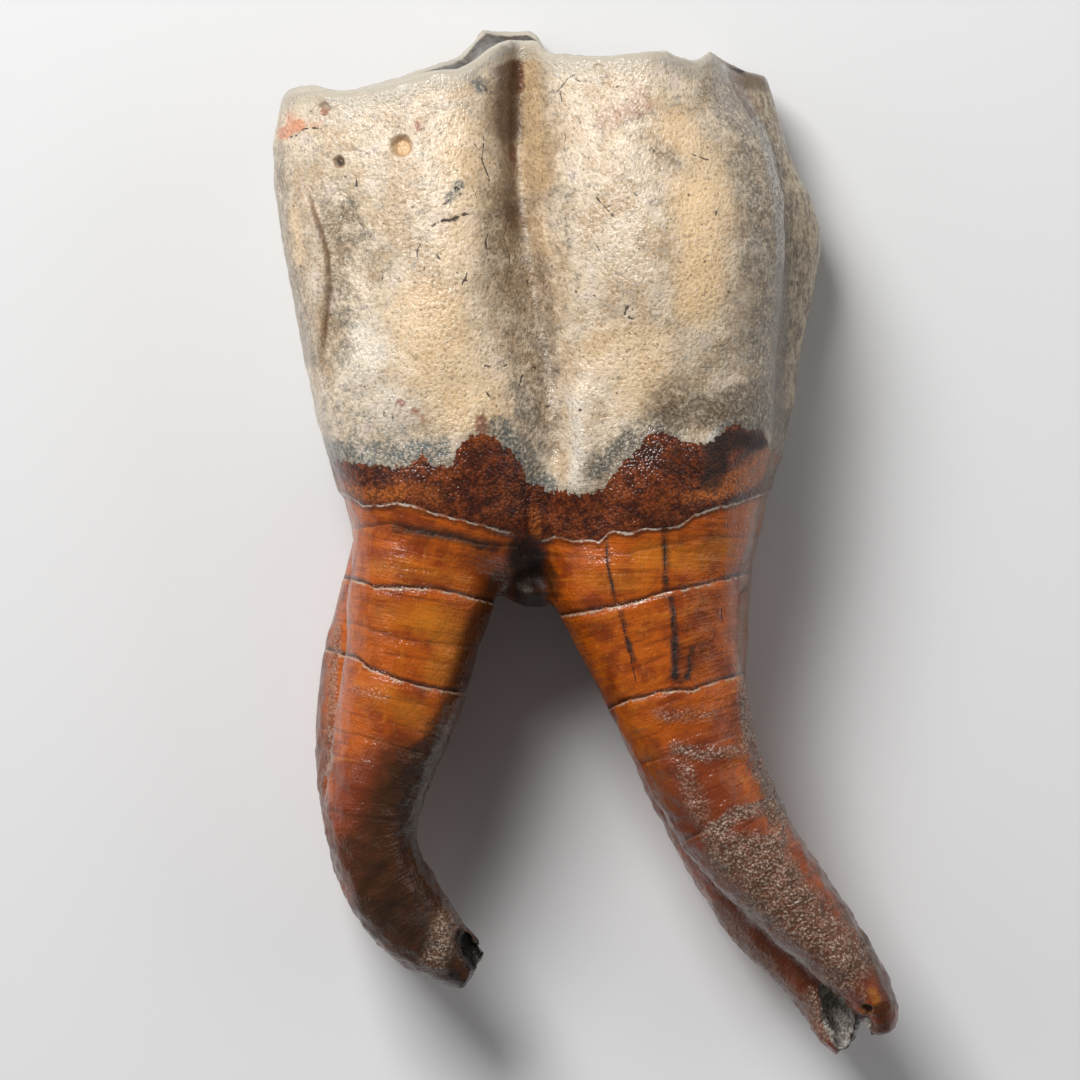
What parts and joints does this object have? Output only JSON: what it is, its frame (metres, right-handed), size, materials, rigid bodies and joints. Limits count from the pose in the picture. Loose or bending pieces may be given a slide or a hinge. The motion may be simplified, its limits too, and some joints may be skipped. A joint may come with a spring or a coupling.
{
  "type": "fossil rhinoceros tooth",
  "caption": "Fossil lower molar of a woolly rhinoceros: a tall crown with a labial groove and a worn chewing surface, on curved, ledged roots with broken tips.",
  "frame": {"origin": "middle of the tooth's footprint, on the surface it lies on", "axes": "+X distal (towards the back of the jaw), +Y towards the chewing end, +Z labial (the lip side), which faces up as the tooth lies on its lingual side"},
  "size_m": [0.0622, 0.1038, 0.0305],
  "materials": {
    "tooth": "satin"
  },
  "bodies": {
    "root": {"tooth": "tooth"}
  },
  "joints": []
}
